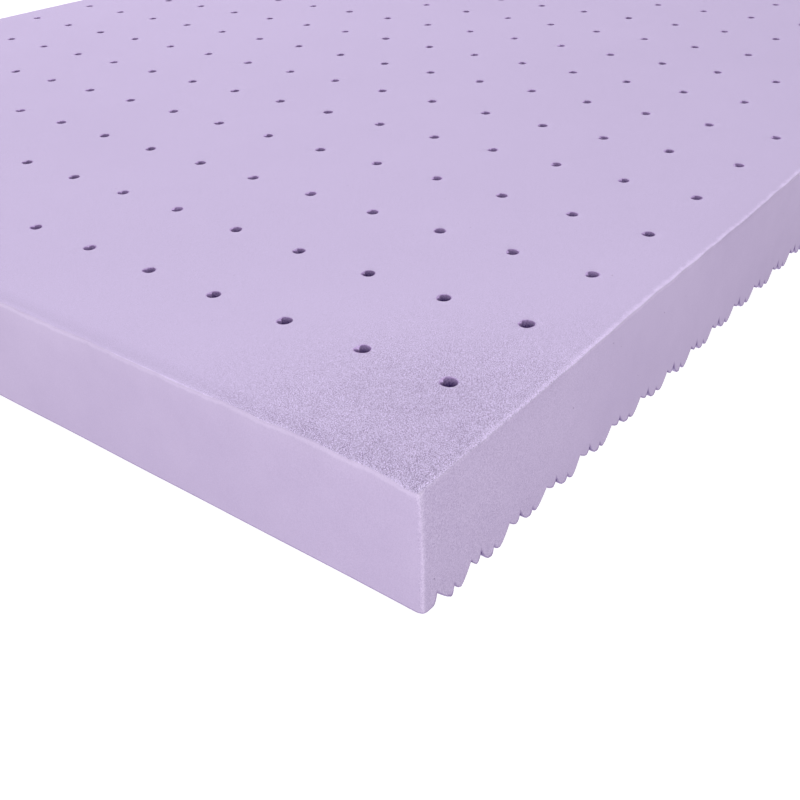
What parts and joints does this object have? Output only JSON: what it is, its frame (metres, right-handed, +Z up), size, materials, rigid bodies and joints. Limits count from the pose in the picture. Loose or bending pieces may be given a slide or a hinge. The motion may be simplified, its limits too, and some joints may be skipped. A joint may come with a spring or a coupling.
{
  "type": "foam mattress slab",
  "caption": "Bare rectangular foam mattress slab with a grid of round vent holes through it and a ridged underside.",
  "frame": {"origin": "middle of the bounding box, on the surface that the ridges stand on", "axes": "+Z up, X along the length, Y across the width and along the ridges"},
  "size_m": [1.905, 0.965, 0.083],
  "materials": {
    "foam": "matte lavender open-cell polyurethane foam with a fine grain on the top and smoother cut sides"
  },
  "bodies": {
    "root": {"foam_slab": "foam"}
  },
  "joints": []
}
